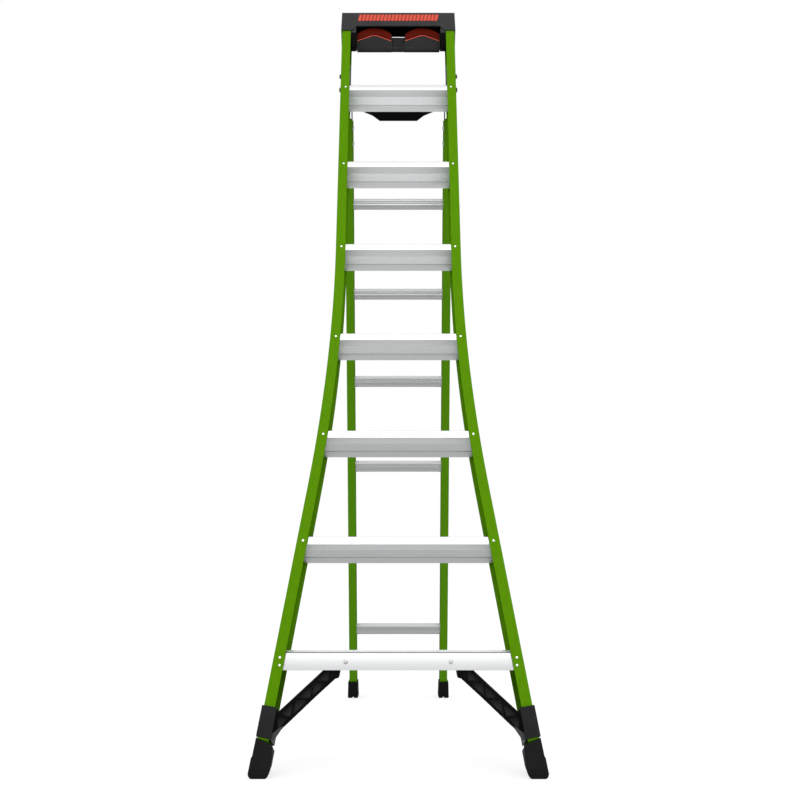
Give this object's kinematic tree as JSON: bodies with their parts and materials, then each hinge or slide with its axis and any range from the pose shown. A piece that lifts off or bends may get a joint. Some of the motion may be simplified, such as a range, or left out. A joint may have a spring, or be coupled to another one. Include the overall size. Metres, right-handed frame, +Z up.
{
  "type": "combination stepladder",
  "caption": "Fibreglass A-frame stepladder: flared front section with box steps, straight rear section with rungs, moulded top cap with tilting wall pads",
  "frame": {"origin": "On the floor, in the middle of the ladder's footprint.", "axes": "+Z is up. +X runs across the ladder to the climber's right. +Y runs from the climbing side (front section) to the rear section."},
  "size_m": [0.717, 1.5343, 2.3095],
  "materials": {
    "green_fibreglass": "pultruded glass-reinforced plastic, satin green",
    "mill_aluminium": "extruded mill finish, lightly brushed along its length",
    "moulded_black": "fine-grained injection-moulded black",
    "black_rubber": "matt black rubber",
    "red_rubber": "soft red rubber, satin",
    "zinc_steel": "bright zinc plate"
  },
  "bodies": {
    "front_section": {"front_rail_left": "green_fibreglass", "front_rail_right": "green_fibreglass", "step_1": "mill_aluminium", "step_2": "mill_aluminium", "step_3": "mill_aluminium", "step_4": "mill_aluminium", "step_5": "mill_aluminium", "step_6": "mill_aluminium", "bottom_step": "mill_aluminium", "top_cap": "moulded_black", "pad_axle": "zinc_steel", "knee_brace_left": "moulded_black", "brace_bolt_left": "zinc_steel", "front_foot_left": "black_rubber", "hinge_block_left": "moulded_black", "block_screw_left": "zinc_steel", "pivot_bolt_left": "zinc_steel", "pivot_nut_left": "zinc_steel", "stop_pin_left": "zinc_steel", "knee_brace_right": "moulded_black", "brace_bolt_right": "zinc_steel", "front_foot_right": "black_rubber", "hinge_block_right": "moulded_black", "block_screw_right": "zinc_steel", "pivot_bolt_right": "zinc_steel", "pivot_nut_right": "zinc_steel", "stop_pin_right": "zinc_steel"},
    "rear_section": {"rear_rail_left": "green_fibreglass", "hinge_arm_left": "zinc_steel", "rail_plug_left": "moulded_black", "arm_bolt_upper_left": "zinc_steel", "arm_bolt_lower_left": "zinc_steel", "rear_foot_left": "black_rubber", "rear_rail_right": "green_fibreglass", "hinge_arm_right": "zinc_steel", "rail_plug_right": "moulded_black", "arm_bolt_upper_right": "zinc_steel", "arm_bolt_lower_right": "zinc_steel", "rear_foot_right": "black_rubber", "rung_1": "mill_aluminium", "rung_2": "mill_aluminium", "rung_3": "mill_aluminium", "rung_4": "mill_aluminium", "rung_5": "mill_aluminium", "rung_6": "mill_aluminium", "cross_brace": "moulded_black"},
    "wall_pad": {"pad_carrier": "moulded_black", "wall_pad_left": "red_rubber", "wall_pad_right": "red_rubber"}
  },
  "joints": [
    {"name": "fold", "type": "hinge", "parent": "front_section", "child": "rear_section", "pos_m": [0, -0.018, 2.0357], "axis": [-1, 0, 0], "range_deg": [0, 36.5]},
    {"name": "wall_pad_tilt", "type": "hinge", "parent": "front_section", "child": "wall_pad", "pos_m": [0, 0.03, 2.2015], "axis": [-1, 0, 0], "range_deg": [0, 90]}
  ]
}
